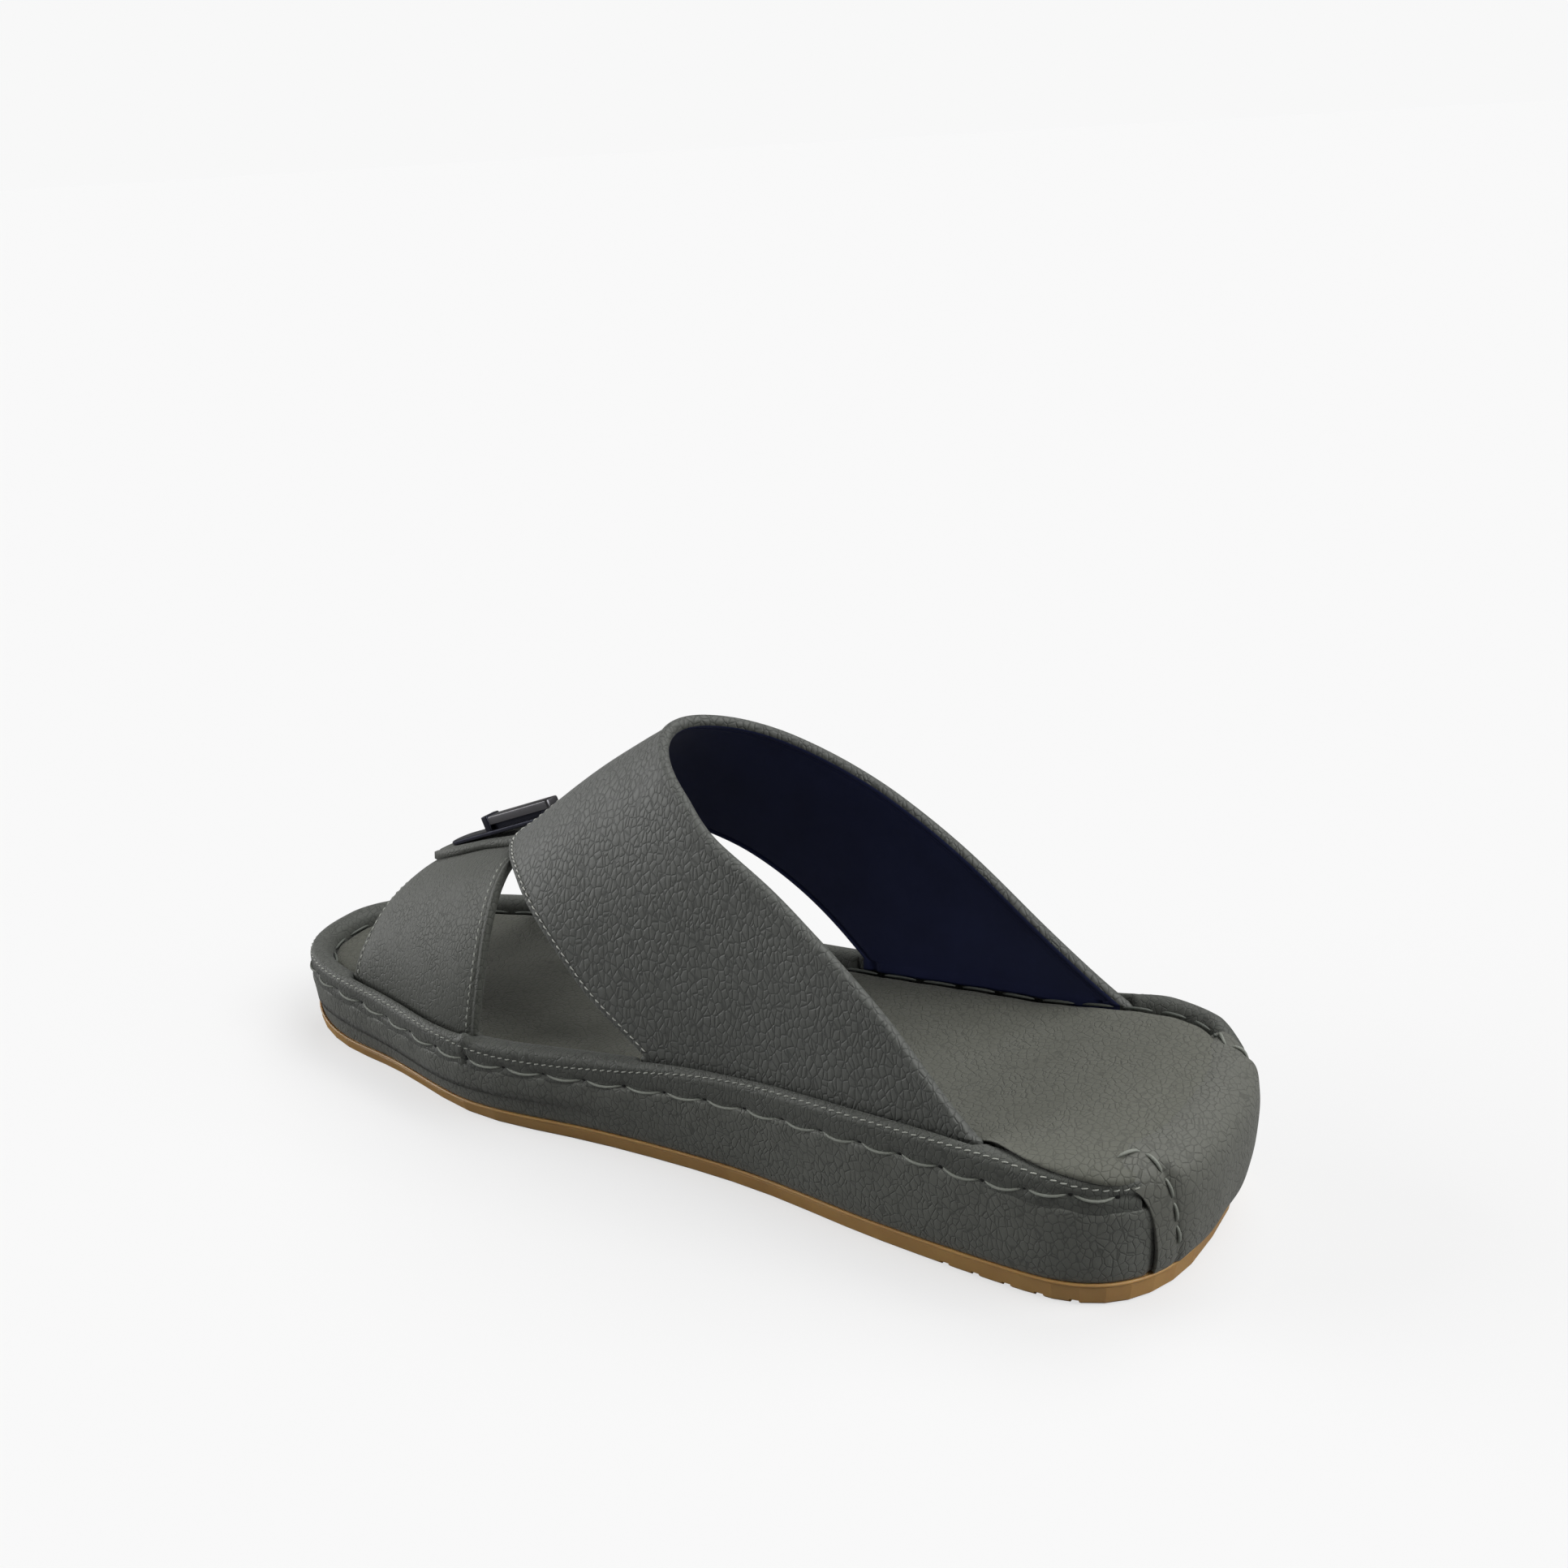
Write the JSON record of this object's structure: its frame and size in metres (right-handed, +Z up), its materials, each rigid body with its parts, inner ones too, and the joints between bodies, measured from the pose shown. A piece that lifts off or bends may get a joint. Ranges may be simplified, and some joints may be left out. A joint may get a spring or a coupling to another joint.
{
  "type": "open-toe leather sandal",
  "caption": "Open-toe slip-on leather sandal for the right foot, with a wide crossed instep saddle and a metal bar.",
  "frame": {"origin": "on the ground, under the middle of the standing sandal's bounding box", "axes": "+Z up, +Y from the heel towards the toe, -X towards the medial side of the right foot"},
  "size_m": [0.0936, 0.288, 0.1093],
  "materials": {
    "gum_rubber": "satin",
    "wall_leather": "matte",
    "grain_leather": "matte",
    "footbed_leather": "matte",
    "gunmetal": "satin"
  },
  "bodies": {
    "root": {"outsole": "gum_rubber", "midsole": "wall_leather", "rim_band": "grain_leather", "footbed": "footbed_leather", "upper": "grain_leather", "ornament_plate": "gunmetal", "ornament_bar": "gunmetal"}
  },
  "joints": []
}
